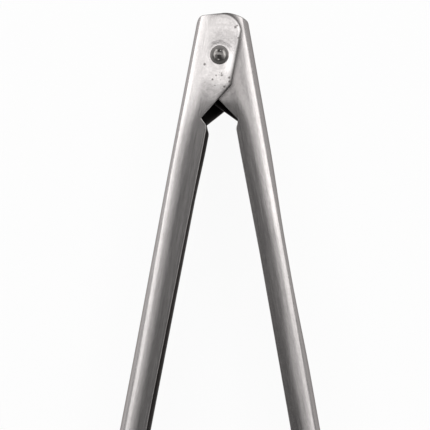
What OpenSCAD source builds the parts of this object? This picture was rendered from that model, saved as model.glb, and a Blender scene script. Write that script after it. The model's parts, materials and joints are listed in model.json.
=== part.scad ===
/* [Arms] */
// Distance from the pivot axis to the end of the jaws
arm_l = 287; // [260:1:320]
// Thickness of the sheet that both arms are pressed from
sheet_t = 1; // [0.8:0.1:1]
// Width across the flanges of the outer arm
outer_w = 24; // [23:0.5:26]
// Outside radius of the bend between the web and a flange
bend_r = 3; // [2.6:0.1:3.2]
// Depth of the outer arm's flanges, from the outside of its web
outer_flange = 11.7; // [11:0.1:12]
// Depth of the inner arm's flanges, from the outside of its web
inner_flange = 12.2; // [11.5:0.1:12.6]
// Angle between the two arms when they stand fully open
open_angle = 21; // [18:0.5:22]

/* [Ears and hinge] */
// Distance from the pivot axis to the outside of the outer arm's web
outer_web_off = 12.1; // [11.8:0.1:12.4]
// Distance from the pivot axis to the outside of the inner arm's web
inner_web_off = 14.3; // [14:0.1:14.6]
// Reach of the outer ears past the pivot axis, towards the other arm
outer_ear_reach = 7.2; // [6.8:0.1:7.6]
// Height of the outer ears above the pivot axis
outer_ear_top = 17.6; // [17.2:0.1:18]
// Radius of the rounded corner on the outer ears
outer_ear_r = 7.8; // [7:0.1:8]
// Radius to which the top of the inner arm is cut
inner_top_r = 17.6; // [17.4:0.1:17.9]
// Side play between each inner ear and the outer ear beside it
side_play = 0.15; // [0.1:0.05:0.2]
// Diameter of the rivet's shank
rivet_d = 4; // [3.6:0.1:4.4]
// Diameter of the rivet's domed head
rivet_head_d = 8; // [7:0.1:9]
// Height of the domed head, and of the set tail behind
rivet_head_h = 1.8; // [1.4:0.1:2]
// Diameter of the set tail
rivet_tail_d = 7.4; // [7:0.1:8]
// Radial running clearance of the ears and the sleeve on the shank
running_gap = 0.06; // [0.03:0.01:0.08]
// Outside diameter of the spacer sleeve
sleeve_d = 6.4; // [6:0.1:7]

/* [Spring] */
// Diameter of the spring wire
wire_d = 1.6; // [1.4:0.1:1.8]
// Mean diameter of the coil
coil_d = 10; // [9.6:0.1:10.4]
// Whole turns between the two legs, besides the last half turn
coil_turns = 6; // [4:1:7]
// Length of each straight leg
leg_l = 28; // [24:1:32]

/* [Jaws] */
// Length of the jaw, from the plain channel to the end of the scoop
jaw_l = 60; // [56:1:66]
// Length of the scoop's round end
scoop_l = 16; // [14:1:18]
// Reach of the jaw's rim past the line from the pivot along the arm
rim_reach = 2.1; // [1.7:0.1:2.1]
// Height of a scallop, crest to valley
scallop_h = 1.3; // [0.6:0.1:1.6]

/* [Hidden] */
steel = [0.74, 0.73, 0.72];
bright_steel = [0.6, 0.6, 0.6];
spring_steel = [0.45, 0.45, 0.46];

half_open = open_angle / 2;
inner_w = outer_w - 2 * (sheet_t + side_play);
// The jaws are as wide as the rivet is long, so that the tongs lie level on either side.
lie_z = outer_w / 2 + rivet_head_h;
mid_x = (outer_web_off - inner_web_off) * cos(half_open) / 2;
mid_y = (arm_l * cos(half_open) - inner_top_r) / 2;

// Relief under each ear: the notch corner where it meets the flange, and the slope of the cut.
outer_notch = [-2.7, -27.5];
outer_front_slope = 58.6;
outer_rear_notch = [-1.6, -28.7];
outer_rear_slope = 49;
inner_notch = [-2.95, -27.8];
inner_front_slope = 55;
inner_rear_slope = 46;
ear_corner_r = 1;
top_slope = 15;
top_corner_r = 2;
shoulder_from = 103.7;
// The inner arm's top is cut about a point a little nearer its web than the pivot axis.
inner_top_c = [-2, 0];
// The inner ear's shoulder lands inside the outer arm's bend and stops the opening.
stop_gap = 0.15;
bend_in_r = bend_r - sheet_t;
ear_into_bend = inner_w / 2 - (outer_w / 2 - bend_r);
stop_reach = outer_web_off - bend_r + sqrt(bend_in_r * bend_in_r - ear_into_bend * ear_into_bend) - stop_gap;
shoulder_turn = cos(shoulder_from - open_angle);
centre_reach = inner_top_c * [cos(open_angle), sin(open_angle)];
shoulder_r = (stop_reach - centre_reach - inner_top_r * shoulder_turn) / (1 - shoulder_turn);
shoulder_c = inner_top_c + (inner_top_r - shoulder_r) * [cos(shoulder_from), sin(shoulder_from)];
// Under the notch each flange starts in a rounded corner.
start_r = 4;
start_drop = 4.6;
start_turn = 35;
// From there it stands a little prouder than its plain depth: most at swell_low, by the first
// number of each pair, until that has tapered off at the height that the second number gives.
swell_low = -41;
outer_front_swell = [0.85, -150];
outer_rear_swell = [0.5, -62];
inner_swell = [0.6, -86];

// Jaw: rows of points along the arm, each from rim to rim.
flange_steps = 3;
bend_steps = 6;
web_steps = 6;
row_steps = 2 * flange_steps + 2 * bend_steps + web_steps;
morph_rows = 8;
side_rows = 12;
scoop_rows = 8;
rim_turn = 80;
corner_turn = 30;
side_lobes = 3;
front_lobes = 6;
morph_l = 22;
scoop_w = lie_z / sin(rim_turn);
side_l = jaw_l - morph_l - scoop_l;

function arc_points(c, r, from, to, n) =
    [for (i = [0:n]) c + r * [cos(from + (to - from) * i / n), sin(from + (to - from) * i / n)]];
function mix(a, b, k) = a * (1 - k) + b * k;
function smooth(x) = x * x * (3 - 2 * x);

// Rounded corner under an ear, between its straight edge and the relief cut.
function relief_corner(reach, notch, slope) =
    let (n = [sin(slope), -cos(slope)])
    let (cu = reach - ear_corner_r)
    let (cv = (n * notch - ear_corner_r - n[0] * cu) / n[1])
    arc_points([cu, cv], ear_corner_r, 0, slope - 90, 4);

// Side outline of the outer arm: u runs inwards from the pivot axis, v up along the arm.
function outer_outline(notch, slope, swell) =
    let (n = [cos(90 + top_slope), sin(90 + top_slope)])
    let (ear_c = [outer_ear_reach - outer_ear_r, outer_ear_top - outer_ear_r])
    let (cu = -outer_web_off + top_corner_r)
    let (cv = (n * ear_c + outer_ear_r - top_corner_r - n[0] * cu) / n[1])
    let (edge = outer_flange - outer_web_off)
    concat(
        [[-outer_web_off, jaw_l - arm_l]],
        arc_points([cu, cv], top_corner_r, 180, 90 + top_slope, 4),
        arc_points(ear_c, outer_ear_r, 90 + top_slope, 0, 12),
        relief_corner(outer_ear_reach, notch, slope),
        [notch],
        arc_points([edge + swell[0] - start_r, notch[1] - start_drop], start_r, start_turn, 0, 4),
        [[edge + swell[0], swell_low], [edge, swell[1]], [edge, jaw_l - arm_l]]
    );

// Side outline of the inner arm, in the same way.
function inner_outline(slope) =
    let (web_top = 180 - acos((inner_web_off + inner_top_c[0]) / inner_top_r))
    let (reach = shoulder_c[0] + shoulder_r)
    let (edge = inner_flange - inner_web_off)
    concat(
        [[-inner_web_off, jaw_l - arm_l]],
        arc_points(inner_top_c, inner_top_r, web_top, shoulder_from, 8),
        arc_points(shoulder_c, shoulder_r, shoulder_from, 0, 12),
        relief_corner(reach, inner_notch, slope),
        [inner_notch],
        arc_points([edge + inner_swell[0] - start_r, inner_notch[1] - start_drop], start_r, start_turn, 0, 4),
        [[edge + inner_swell[0], swell_low], [edge, inner_swell[1]], [edge, jaw_l - arm_l]]
    );

// One row of the plain channel: [height above the web's outside, place across], for a skin
// that lies in by the given depth.
function channel_row(w, d, in) =
    let (b = w / 2 - bend_r)
    let (r = bend_r - in)
    concat(
        [for (i = [0:flange_steps - 1]) [mix(d, bend_r, i / flange_steps), in - w / 2]],
        [for (i = [0:bend_steps]) let (a = 90 * (1 - i / bend_steps)) [bend_r - r * cos(a), -b - r * sin(a)]],
        [for (i = [1:web_steps - 1]) [in, mix(-b, b, i / web_steps)]],
        [for (i = [0:bend_steps]) let (a = 90 * i / bend_steps) [bend_r - r * cos(a), b + r * sin(a)]],
        [for (i = [1:flange_steps]) [mix(bend_r, d, i / flange_steps), w / 2 - in]]
    );

// One point of the scoop: part of an ellipsoid, turned a degrees across and e degrees along.
// Gives [height, place across, advance along the arm].
function scoop_point(h, a, e, in) =
    let (p = [h * (1 - cos(a) * cos(e)), scoop_w * sin(a), scoop_l * cos(a) * sin(e)])
    let (g = [cos(a) * cos(e) / h, -sin(a) / scoop_w, -cos(a) * sin(e) / scoop_l])
    p + in * g / norm(g);

// Rows of one skin of a jaw, from the channel's end to the rim of the scoop.
function jaw_row(w, d, h, in, row) =
    let (side = max(0, min(1, (row - morph_rows) / side_rows)))
    let (morph = smooth(min(1, row / morph_rows)))
    let (end = max(0, (row - morph_rows - side_rows) / scoop_rows))
    let (wave = scallop_h / 2 * (1 - cos(360 * side_lobes * side)))
    let (edge_turn = rim_turn - wave / h * 180 / PI / sin(rim_turn))
    let (at = morph_l * min(1, row / morph_rows) + side_l * side)
    let (plain = channel_row(w, d, in))
    [for (i = [0:row_steps])
        let (a = edge_turn * (2 * i / row_steps - 1))
        let (low = cos(rim_turn) * cos(corner_turn) / cos(a))
        let (notched = scallop_h / 2 * (1 - cos(360 * front_lobes * i / row_steps)))
        let (e = end * (acos(low) - notched / h * 180 / PI))
        let (q = scoop_point(h, a, e, in))
        let (flat = mix([plain[i][0], plain[i][1], 0], q, morph))
        [flat[0], -at - flat[2], flat[1]]
    ];

// Jaw of one arm, in the arm's own axes.
module jaw(w, d, web_off) {
    h = (web_off + rim_reach) / (1 - cos(rim_turn) * cos(corner_turn));
    rows = morph_rows + side_rows + scoop_rows;
    n = row_steps + 1;
    outside = [for (j = [0:rows]) each jaw_row(w, d, h, 0, j)];
    inside = [for (j = [0:rows]) each jaw_row(w, d, h, sheet_t, j)];
    m = n * (rows + 1);
    skin = [for (j = [0:rows - 1], i = [0:n - 2])
        let (a = j * n + i)
        each [[a, a + 1, a + n + 1], [a, a + n + 1, a + n]]];
    lining = [for (f = skin) [f[2] + m, f[1] + m, f[0] + m]];
    rims = [for (j = [0:rows - 1])
        let (a = j * n)
        let (b = a + n - 1)
        each [
            [a, a + n, a + n + m], [a, a + n + m, a + m],
            [b, b + n + m, b + n], [b, b + m, b + n + m]
        ]];
    lip = [for (i = [0:n - 2])
        let (a = rows * n + i)
        each [[a, a + 1, a + 1 + m], [a, a + 1 + m, a + m]]];
    root = [for (i = [0:n - 2]) each [[i + 1, i, i + m], [i + 1, i + m, i + 1 + m]]];
    translate([-web_off, jaw_l - arm_l, 0])
        polyhedron(points = concat(outside, inside), faces = concat(skin, lining, rims, lip, root));
}

// Straight channel, deep enough for the ears, open towards +u.
module channel(w, web_off, depth) {
    top = 20;
    row_out = channel_row(w, depth, 0);
    row_in = channel_row(w, depth, sheet_t);
    section = concat(row_out, [for (i = [row_steps:-1:0]) row_in[i]]);
    translate([-web_off, top, 0])
        rotate([90, 0, 0])
            linear_extrude(height = top + arm_l - jaw_l)
                polygon(section);
}

// Channel cut to one outline in front and another behind, drilled for the rivet, with its jaw.
module arm(w, web_off, depth, flange, front, rear) {
    difference() {
        union() {
            intersection() {
                channel(w, web_off, depth);
                union() {
                    linear_extrude(height = w)
                        polygon(front);
                    translate([0, 0, -w])
                        linear_extrude(height = w)
                            polygon(rear);
                }
            }
            jaw(w, flange, web_off);
        }
        cylinder(h = 2 * w, d = rivet_d + 2 * running_gap, center = true, $fn = 48);
    }
}

// Place in the shared frame: lying level, pivot at the top, centred on the origin.
module placed() {
    translate([mid_x, mid_y, lie_z])
        children();
}

module outer_arm() {
    color(steel)
        placed()
            rotate([0, 0, -half_open])
                arm(outer_w, outer_web_off, outer_web_off + outer_ear_reach + 1, outer_flange,
                    outer_outline(outer_notch, outer_front_slope, outer_front_swell),
                    outer_outline(outer_rear_notch, outer_rear_slope, outer_rear_swell));
}

module inner_arm() {
    color(steel)
        placed()
            rotate([0, 0, half_open])
                rotate([0, 180, 0])
                    arm(inner_w, inner_web_off, inner_web_off + shoulder_c[0] + shoulder_r + 1, inner_flange,
                        inner_outline(inner_rear_slope),
                        inner_outline(inner_front_slope));
}

module pivot_rivet() {
    dome_r = (rivet_head_d * rivet_head_d / 4 + rivet_head_h * rivet_head_h) / (2 * rivet_head_h);
    dome_turn = asin(rivet_head_d / 2 / dome_r);
    tail_edge = 0.5;
    face = outer_w / 2;
    color(bright_steel)
        placed()
            rotate_extrude($fn = 64)
                polygon(concat(
                    [[0, -face - rivet_head_h], [rivet_tail_d / 2 - tail_edge, -face - rivet_head_h]],
                    [[rivet_tail_d / 2, -face - rivet_head_h + tail_edge], [rivet_tail_d / 2, -face]],
                    [[rivet_d / 2, -face], [rivet_d / 2, face]],
                    [for (i = [0:8]) let (a = dome_turn * (1 - i / 8))
                        [dome_r * sin(a), face + rivet_head_h - dome_r * (1 - cos(a))]]
                ));
}

module spacer_sleeve() {
    length = inner_w - 2 * sheet_t - 2 * side_play;
    color(bright_steel)
        placed()
            difference() {
                cylinder(h = length, d = sleeve_d, center = true, $fn = 48);
                cylinder(h = length + 2, d = rivet_d + 2 * running_gap, center = true, $fn = 48);
            }
}

// Spring wire, swept along its centre line: leg, coil, leg.
module torsion_spring() {
    sides = 8;
    turn_steps = 16;
    coil_r = coil_d / 2;
    touch = 0.1;
    outer_lean = half_open + asin((outer_web_off - sheet_t - wire_d / 2 - touch - coil_r) / leg_l);
    inner_lean = half_open + asin((inner_web_off - sheet_t - wire_d / 2 - touch - coil_r) / leg_l);
    from = inner_lean;
    to = 180 - outer_lean + 360 * coil_turns;
    coil_gap = 0.15;
    pitch = wire_d + coil_gap;
    rise = pitch * (to - from) / 360;
    steps = round((to - from) / 360 * turn_steps);
    coil = [for (k = [0:steps])
        let (a = mix(from, to, k / steps))
        [coil_r * cos(a), coil_r * sin(a), rise * (k / steps - 0.5)]];
    inner_end = coil[0] + leg_l * [sin(inner_lean), -cos(inner_lean), 0];
    outer_end = coil[steps] + leg_l * [-sin(outer_lean), -cos(outer_lean), 0];
    path = concat([inner_end], coil, [outer_end]);
    last = len(path) - 1;
    points = [for (k = [0:last])
        let (ahead = path[min(last, k + 1)] - path[max(0, k - 1)])
        let (t = ahead / norm(ahead))
        let (side = cross(t, [0, 0, 1]) / norm(cross(t, [0, 0, 1])))
        let (up = cross(side, t))
        each [for (s = [0:sides - 1])
            path[k] + wire_d / 2 * (side * cos(360 * s / sides) + up * sin(360 * s / sides))]];
    skin = [for (k = [0:last - 1], s = [0:sides - 1])
        let (a = k * sides + s)
        let (b = k * sides + (s + 1) % sides)
        each [[a, b + sides, a + sides], [a, b, b + sides]]];
    ends = [[for (s = [sides - 1:-1:0]) s], [for (s = [0:sides - 1]) last * sides + s]];
    color(spring_steel)
        placed()
            polyhedron(points = points, faces = concat(skin, ends));
}

outer_arm();
inner_arm();
pivot_rivet();
spacer_sleeve();
torsion_spring();
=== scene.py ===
# %% [markdown]
# # Spring loaded kitchen tongs
# Two pressed arms of brushed stainless sheet cross at a rivet. A torsion spring round the rivet's
# sleeve pushes them open, and each arm ends in a scalloped scoop. The frame below holds the real
# sizes and the hinge. This lesson gives every piece its finished surface in that same frame, so
# nothing has to be fitted afterwards.

# %% Load the frame
import json
import math

import bpy
import numpy as np
from mathutils import Matrix, Vector


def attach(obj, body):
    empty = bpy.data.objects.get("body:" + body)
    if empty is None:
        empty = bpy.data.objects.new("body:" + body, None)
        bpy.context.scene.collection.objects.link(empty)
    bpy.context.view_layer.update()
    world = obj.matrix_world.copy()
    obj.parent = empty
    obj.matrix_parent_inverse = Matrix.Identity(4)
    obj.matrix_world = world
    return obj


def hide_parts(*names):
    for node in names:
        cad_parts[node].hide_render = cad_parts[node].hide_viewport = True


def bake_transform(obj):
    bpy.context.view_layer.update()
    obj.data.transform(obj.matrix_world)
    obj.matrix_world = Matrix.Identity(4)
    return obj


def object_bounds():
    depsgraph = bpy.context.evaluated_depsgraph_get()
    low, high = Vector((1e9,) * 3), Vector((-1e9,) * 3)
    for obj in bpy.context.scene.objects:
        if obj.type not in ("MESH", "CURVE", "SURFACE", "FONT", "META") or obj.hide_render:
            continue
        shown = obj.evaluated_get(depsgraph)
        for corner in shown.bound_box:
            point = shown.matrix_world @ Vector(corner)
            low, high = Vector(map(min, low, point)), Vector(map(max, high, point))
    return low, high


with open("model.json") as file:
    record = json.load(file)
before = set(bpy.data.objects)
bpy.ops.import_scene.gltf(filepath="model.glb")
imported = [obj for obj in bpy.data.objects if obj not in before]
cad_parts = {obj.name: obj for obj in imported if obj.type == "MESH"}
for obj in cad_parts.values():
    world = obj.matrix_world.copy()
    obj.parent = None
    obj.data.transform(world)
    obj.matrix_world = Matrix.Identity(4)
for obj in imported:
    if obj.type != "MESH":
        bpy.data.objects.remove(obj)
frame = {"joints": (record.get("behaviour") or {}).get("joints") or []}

MM = 0.001
cad_low, cad_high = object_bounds()
pivot = np.array(frame["joints"][0]["pos_m"]) / MM
print("pivot in mm:", pivot.round(3), "box in mm:", [round(c / MM, 1) for c in cad_high - cad_low])

# %% [markdown]
# ## Two small helpers
# Colours are written as the sRGB hex values a painter would pick, but shaders add up light, so
# each one is turned to linear first. Nodes are all added by one function, which sets a node's
# properties, fills or links its sockets and gives its output. That keeps a material readable as
# a list of steps.

# %% Helpers for colours and nodes
def linear(hex_text):
    """Linear RGBA of an sRGB hex colour: each channel has the sRGB curve undone."""
    channels = [int(hex_text[i:i + 2], 16) / 255 for i in (1, 3, 5)]
    return [c / 12.92 if c <= 0.04045 else ((c + 0.055) / 1.055) ** 2.4 for c in channels] + [1.0]


def add(tree, kind, inputs=None, out=0, **settings):
    """Adds one shader node and gives its output, by name or number, for the next one to link to.
    Settings are its properties. Inputs maps a socket's name or number to a value, or to another
    node's output, which is linked."""
    made = tree.nodes.new("ShaderNode" + kind)
    for key, value in settings.items():
        setattr(made, key, value)
    for socket, value in (inputs or {}).items():
        if isinstance(value, bpy.types.NodeSocket):
            tree.links.new(value, made.inputs[socket])
        else:
            made.inputs[socket].default_value = value
    return made.outputs[out] if made.outputs else None


def new_material(name):
    """An empty node material and its tree."""
    made = bpy.data.materials.new(name)
    made.use_nodes = True
    made.node_tree.nodes.clear()
    return made, made.node_tree


print("mid grey #808080 is", round(linear("#808080")[0], 3), "in linear light")

# %% [markdown]
# ## The sheet's section
# Each arm is one strip of 1 mm sheet, pressed into a channel: a flat web along the back, a tight
# bend, then a flange. A pressed flange is never dead flat: beside the bend it still turns slowly
# for several millimetres, and that slow crown is what draws the soft band of light along the arm.
# The section is a path made of arcs. Its normal turns at one rate in the bend and at a much
# slower rate in the crown, so it is smooth without any modifier.

# %% Sizes of the sheet, in millimetres
sheet_t = 1.0
pressed_r = 3.0         # plain radius of the bend, which each arm varies a little
bend_turn = math.radians(69)
rim_r, ear_rim_r, rim_flat = 0.2, 0.4, 0.05
ear_foot = -27          # height where the ears start
open_deg = 21.0         # angle between the arms when they are open
half_open = math.radians(open_deg / 2)
WEB_POINTS, BEND_POINTS, CROWN_POINTS = 7, 13, 11


def smooth(x):
    """A step from 0 to 1 that starts and ends level: 3 x^2 - 2 x^3."""
    x = np.clip(x, 0, 1)
    return x * x * (3 - 2 * x)


def rim_radius(v):
    """Radius of the rounded cut edge at a height above the pivot: the ears' edge rolls over
    more, and the change takes 6 mm."""
    return rim_r + (ear_rim_r - rim_r) * smooth((v - ear_foot) / 6)


def half_section(width, bend_r, crown_r):
    """Web, bend and crown, from the web's middle to the flat of the flange. The outside of an arc
    of radius r whose normal has turned by p is centre + r * (-cos p, sin p). Gives [height above
    the web's outside, place across]."""
    rise = bend_r * math.sin(bend_turn) + crown_r * (1 - math.sin(bend_turn))
    web = np.linspace(0, width / 2 - rise, WEB_POINTS)
    p = np.linspace(0, bend_turn, BEND_POINTS)[1:]
    bend = np.c_[bend_r - bend_r * np.cos(p), web[-1] + bend_r * np.sin(p)]
    q = np.linspace(bend_turn, math.pi / 2, CROWN_POINTS)[1:]
    centre = bend[-1] + crown_r * np.array([math.cos(bend_turn), -math.sin(bend_turn)])
    crown = np.c_[centre[0] - crown_r * np.cos(q), centre[1] + crown_r * np.sin(q)]
    return np.vstack([np.c_[0 * web, web], bend, crown])


plain_flat = half_section(width=24, bend_r=pressed_r, crown_r=17)[-1, 0]
print("with a plain bend the flat of the flange starts", plain_flat.round(2), "mm above the web")

# %% [markdown]
# ## The outlines of the ears
# At the hinge the flanges grow into ears. Their outline is a plain drawing: a rounded top corner,
# a straight edge, a small corner under it and a slanted relief cut down to the notch. Two lists
# of points hold it, one for the flange's edge against height and one for the top against depth,
# and looking values up in them lets one grid of rows and columns follow the whole outline.

# %% Sizes of the two arms, in millimetres
# The width is across the flanges, web is how far the web's outside lies from the pivot, and
# flange is the flange's depth. Front and rear each hold a flange's notch, the slant of the cut
# down to it in degrees, and the swell below it with the height where that ends. The radius of
# the bend and the bow, which is how far the web stands proud, have two values each. Change says
# at what height and over what length the first turns into the second, and the same for the way
# back.
arm_l, jaw_l = 287.0, 60.0
arms = {
    "outer": dict(side=1, width=24.0, web=12.1, flange=11.7,
                  reach=7.2, corner_r=7.8, corner_v=9.8,
                  front=((-2.7, -27.5), 58.6, (0.85, -150)),
                  rear=((-1.6, -28.7), 49.0, (0.5, -62)),
                  crown_r=17.0, bend_r=(2.6, 4.2), bow=(0.2, -0.16),
                  change=(-40, 110, -400, 1)),
    "inner": dict(side=-1, width=21.7, web=14.29, flange=12.2,
                  front=((-2.95, -27.8), 55.0, (0.6, -86)),
                  rear=((-2.95, -27.8), 46.0, (0.6, -86)),
                  crown_r=22.0, bend_r=(4.1, 2.5), bow=(0.0, -0.72),
                  change=(-38, 45, -98, 45)),
}
ARC_POINTS, CORNER_POINTS = 40, 240


def arc(centre, r, start, end, n):
    """Points on a circle about centre, from one angle to another, in degrees."""
    a = np.radians(np.linspace(start, end, n))
    return np.c_[centre[0] + r * np.cos(a), centre[1] + r * np.sin(a)]


def outer_top(arm):
    """Top of the outer ear: a small corner over the web, a line that climbs at 15 degrees, and
    the big rounded corner down to the ear's straight edge."""
    slope, small = 15, 3.0
    n = np.array([math.cos(math.radians(90 + slope)), math.sin(math.radians(90 + slope))])
    c = np.array([arm["reach"] - arm["corner_r"], arm["corner_v"]])
    cu = small - arm["web"]
    cv = (n @ c + arm["corner_r"] - small - n[0] * cu) / n[1]
    return np.vstack([arc((cu, cv), small, 180, 90 + slope, ARC_POINTS),
                      arc(c, arm["corner_r"], 90 + slope, 0, CORNER_POINTS)])


def inner_top(arm):
    """Top of the inner ear: an arc about a point 2 mm from the pivot, then a tighter shoulder
    that lands inside the outer arm's bend and stops the opening. Over the web a small corner is
    taken off."""
    top_r, centre, start, gap, small = 17.58, np.array([-2, 0]), 103.7, 0.15, 0.5
    outer = arms["outer"]
    into_bend = arm["width"] / 2 - (outer["width"] / 2 - pressed_r)
    inside_r = pressed_r - sheet_t
    stop = outer["web"] - pressed_r + math.sqrt(inside_r ** 2 - into_bend ** 2) - gap
    turn = math.cos(math.radians(start - open_deg))
    r = (stop - centre[0] * math.cos(2 * half_open) - top_r * turn) / (1 - turn)
    towards = np.array([math.cos(math.radians(start)), math.sin(math.radians(start))])
    c = centre + (top_r - r) * towards
    arm.update(reach=c[0] + r, corner_r=r, corner_v=c[1])
    web_top = 180 - math.degrees(math.acos((arm["web"] + centre[0]) / top_r))
    top = np.vstack([arc(centre, top_r, web_top, start, CORNER_POINTS // 2),
                     arc(c, r, start, 0, CORNER_POINTS)])
    over = np.clip(small - arm["web"] - top[:, 0], 0, small)
    return top - np.c_[0 * over, small - np.sqrt(small ** 2 - over ** 2)]


def edge_line(arm, notch, slope, swell):
    """Edge of a flange from the ear down: straight, a 1 mm corner, the slanted cut, the notch, a
    4 mm curve out to the flange, and a swell that tapers off at its own height."""
    corner, curve, curve_turn, curve_drop = 1, 4, 35, 4.6
    above, swell_v, below = 30, -41, -400
    n = np.array([math.sin(math.radians(slope)), -math.cos(math.radians(slope))])
    cu = arm["reach"] - corner
    cv = (n @ np.array(notch) - corner - n[0] * cu) / n[1]
    low = arm["flange"] - arm["web"]
    wide = low + swell[0]
    corner_arc = arc((cu, cv), corner, 0, slope - 90, ARC_POINTS)
    curve_arc = arc((wide - curve, notch[1] - curve_drop), curve, curve_turn, 0, ARC_POINTS)
    return np.vstack([[arm["reach"], above], corner_arc, notch, curve_arc,
                      [wide, swell_v], [low, swell[1]], [low, below]])


for name, arm in arms.items():
    arm["top"] = outer_top(arm) if name == "outer" else inner_top(arm)
    print(f"{name} ear: {arm['reach']:.2f} past the pivot, {arm['top'][:, 1].max():.2f} above it")

# %% [markdown]
# ## One grid for a whole arm
# A sheet-metal piece is easiest as a surface of two parameters: columns run across the unfolded
# strip and rows run along it. Subdividing a box would never keep the bend, the notch and the
# scoop in one smooth skin, but a grid does. The rows above the hole bend to meet the ear's top,
# and a small square of the grid round the pivot is drawn into a circle for the rivet.

# %% Rows and columns of the plain channel
TOP_FROM, TOP_ROWS = 6.0, 26              # rows above this height follow the ear's top
HOLE_SQUARE, HOLE_REACH = 2.0, 4.0        # half of the square, and where its pull ends
LEAN_DEPTH, LEAN_SOFT = 7.0, 1.6          # depth where the lean starts, and its soft corner
LEAN_TOP, LEAN_OVER = -19, 16             # height where the lean starts, and its run-in
BOW_DEPTH, FLANGE_ZONE = 6, 4             # where the bow has faded, and what the drop moves
NOTCHES = (-27.5, -27.8, -28.7)           # heights of the notches, each of which gets a row
hole_r = 2.06
dish = [(0.16, 4.2, 13.0), (0.05, 4.2, 6.4)]      # depth, and the radii between which it rises


def snapped(values, *marks):
    """The same values, with the nearest one moved to each mark."""
    values = np.array(values, float)
    for mark in marks:
        values[np.argmin(abs(values - mark))] = mark
    return values


def ear_columns(arm, flat_from):
    """Depths of the flange's columns at the ear: even to the rounded corner's centre, then
    spaced as the sine of an even angle, so that the columns crowd where the outline falls."""
    centre = arm["web"] + arm["reach"] - arm["corner_r"]
    even = np.linspace(flat_from, centre, 20)[1:]
    quarter = np.linspace(0, math.pi / 2, 20)[1:]
    crowd = centre + (arm["corner_r"] - rim_flat - ear_rim_r) * np.sin(quarter)
    return snapped(np.r_[even, crowd], arm["web"] - HOLE_SQUARE, arm["web"] + HOLE_SQUARE)


def channel_rows():
    """Heights of the rows below the top, closer together where the outline turns."""
    end = jaw_l - arm_l
    spans = [(TOP_FROM, -9, 25), (-9, -13, 16), (-13, -26, 22), (-26, -34, 32), (-34, -64, 20),
             (-64, end, 55)]
    rows = [np.linspace(a, b, n, endpoint=False) for a, b, n in spans] + [[end]]
    return snapped(np.concatenate(rows), HOLE_SQUARE, -HOLE_SQUARE, *NOTCHES)


def tucked_in(u, v):
    """How far the inner ears bend in so that they swing clear of the crown inside the outer arm:
    r - sqrt(r^2 - x^2), where r is the crown's inside radius and x is the reach past the crown's
    start, at whichever end of the swing that reach is larger."""
    outer = arms["outer"]
    flat_from = half_section(outer["width"], outer["bend_r"][0], outer["crown_r"])[-1, 0]
    towards_web = np.maximum(u, u * math.cos(2 * half_open) + v * math.sin(2 * half_open))
    x = np.maximum(0, towards_web - outer["web"] + flat_from)
    r = outer["crown_r"] - sheet_t
    return r - np.sqrt(r * r - x * x)


def channel(arm, lean):
    """The channel's outside as grids of u (inwards from the pivot), v (up the arm) and z
    (across). The section is a blend of two, with a share k that rises and falls along the arm,
    and a flange column keeps its share of the depth at each row. The web's bow moves it out and
    has faded where the flange starts. The flanges are then pressed in by a drop, the sum of
    three: below the ears the soft corner of a line whose slope is lean, round the rivet the
    dish, which rises smoothly with the distance from the pivot, and for the inner ears the
    tuck."""
    first, second = [half_section(arm["width"], r, arm["crown_r"]) for r in arm["bend_r"]]
    flat_from = first[-1, 0]
    ear = ear_columns(arm, flat_from)
    full = arm["web"] + arm["reach"] - rim_flat - ear_rim_r
    rows = channel_rows()
    v_rows = np.r_[np.full(TOP_ROWS, TOP_FROM), rows[1:]]
    lift = np.r_[np.linspace(1, 0, TOP_ROWS), np.zeros(len(rows) - 1)]
    start, over, back, back_over = arm["change"]
    k = (smooth((start - v_rows) / over) * (1 - smooth((back - v_rows) / back_over)))[:, None]
    bend = first[:, 0] * (1 - k) + second[:, 0] * k
    flat_z = np.full((len(k), len(ear)), arm["width"] / 2)
    across = np.hstack([first[:, 1] * (1 - k) + second[:, 1] * k, flat_z])
    sides = []
    for side in (arm["front"], arm["rear"]):
        line = edge_line(arm, *side)[::-1]
        depth = np.interp(v_rows, line[:, 1], line[:, 0]) + arm["web"]
        depth = depth - rim_flat - rim_radius(v_rows)
        share = (ear - flat_from) / (full - flat_from)
        flange = bend[:, -1:] + share * (depth[:, None] - bend[:, -1:])
        sides.append(np.hstack([bend, flange]))
    d = np.hstack([sides[0][:, ::-1], sides[1][:, 1:]])
    z = np.hstack([across[:, ::-1], -across[:, 1:]])
    bow = arm["bow"][0] * (1 - k) + arm["bow"][1] * k
    u = d - arm["web"] - bow * (1 - smooth(d / BOW_DEPTH))
    top = np.interp(u, arm["top"][:, 0], arm["top"][:, 1]) - rim_flat - ear_rim_r
    v = v_rows[:, None] + lift[:, None] * (top - TOP_FROM)
    x = d - LEAN_DEPTH
    corner = (x + np.sqrt(x * x + LEAN_SOFT ** 2)) / 2
    drop = lean * smooth((LEAN_TOP - v) / LEAN_OVER) * corner
    for depth, inner_r, outer_r in dish:
        drop += depth * (1 - smooth((np.hypot(u, v) - inner_r) / (outer_r - inner_r)))
    if arm["side"] < 0:
        drop += tucked_in(u, v)
    return u, v, z - np.sign(z) * np.where(abs(z) > arm["width"] / 2 - FLANGE_ZONE, drop, 0)


def open_hole(u, v, z):
    """Draws the square of the grid round the pivot into a circle. A point whose larger coordinate
    is c goes to the radius hole * c / square at the square's side, and keeps its own radius from
    the reach outwards."""
    c = np.maximum(abs(u), abs(v))
    r = np.hypot(u, v) + 1e-9
    k = smooth((c - HOLE_SQUARE) / (HOLE_REACH - HOLE_SQUARE))
    wanted = (hole_r + rim_flat + ear_rim_r) * c / HOLE_SQUARE * (1 - k) + r * k
    grow = np.where(c < HOLE_REACH, wanted / r, 1)
    return u * grow, v * grow, z


u, v, z = open_hole(*channel(arms["outer"], 0.03))
print("outer channel:", u.shape[0], "rows by", u.shape[1], "columns")

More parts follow.
